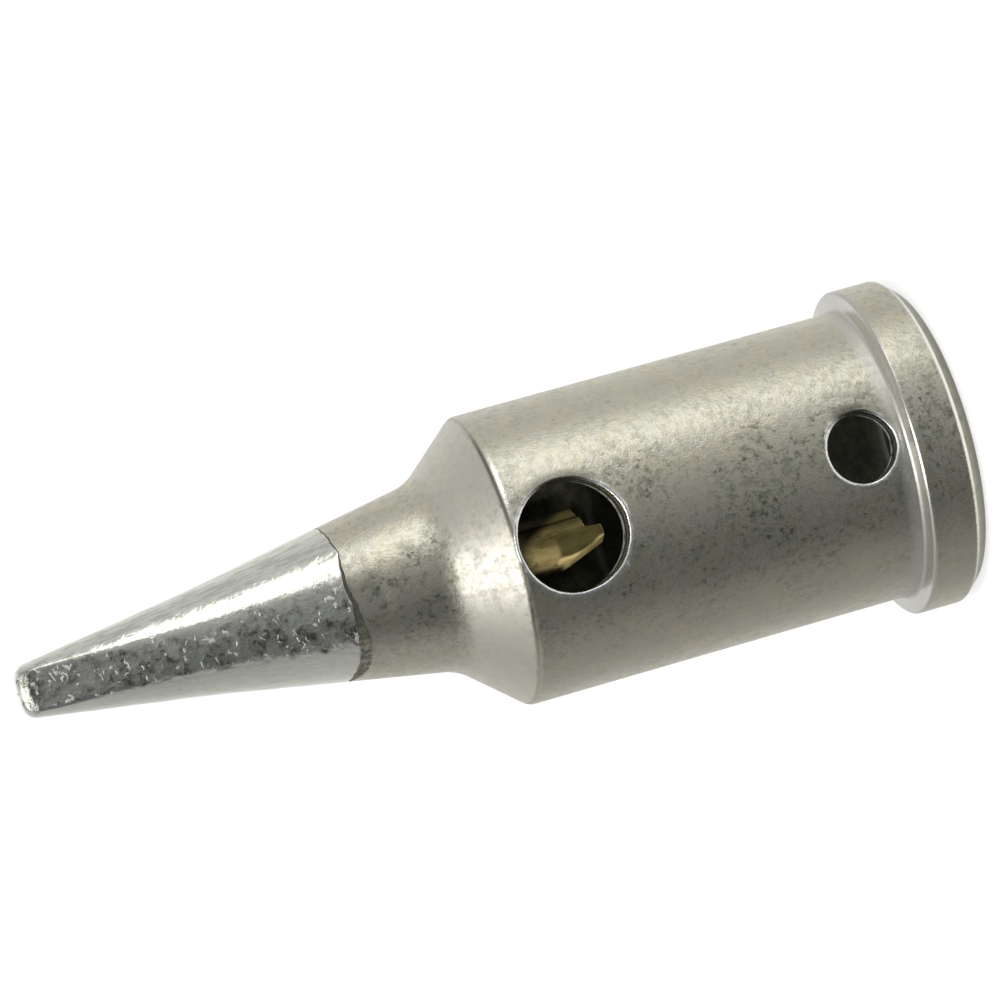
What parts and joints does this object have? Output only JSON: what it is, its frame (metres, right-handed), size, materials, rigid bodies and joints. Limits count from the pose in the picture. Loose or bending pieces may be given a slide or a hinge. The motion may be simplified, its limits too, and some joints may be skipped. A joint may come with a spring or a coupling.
{
  "type": "soldering iron tip",
  "caption": "Chisel tip for a gas-fired soldering iron: flanged hollow barrel with side ports, stepped-down neck and a tinned taper ending in a flat blade.",
  "frame": {"origin": "centre of the flange's rear face, on the turning axis", "axes": "+Z along the turning axis towards the chisel end; the side ports face -Y; +X completes the frame"},
  "size_m": [0.0114, 0.0114, 0.0322],
  "materials": {
    "nickel_plated_copper": "satin nickel plating, heat-stained and finely speckled; the taper past the seam is bright with solder",
    "oxidised_catalyst": "dull golden brown, heat-oxidised"
  },
  "bodies": {
    "root": {"tip_body": "nickel_plated_copper", "catalyst": "oxidised_catalyst"}
  },
  "joints": []
}
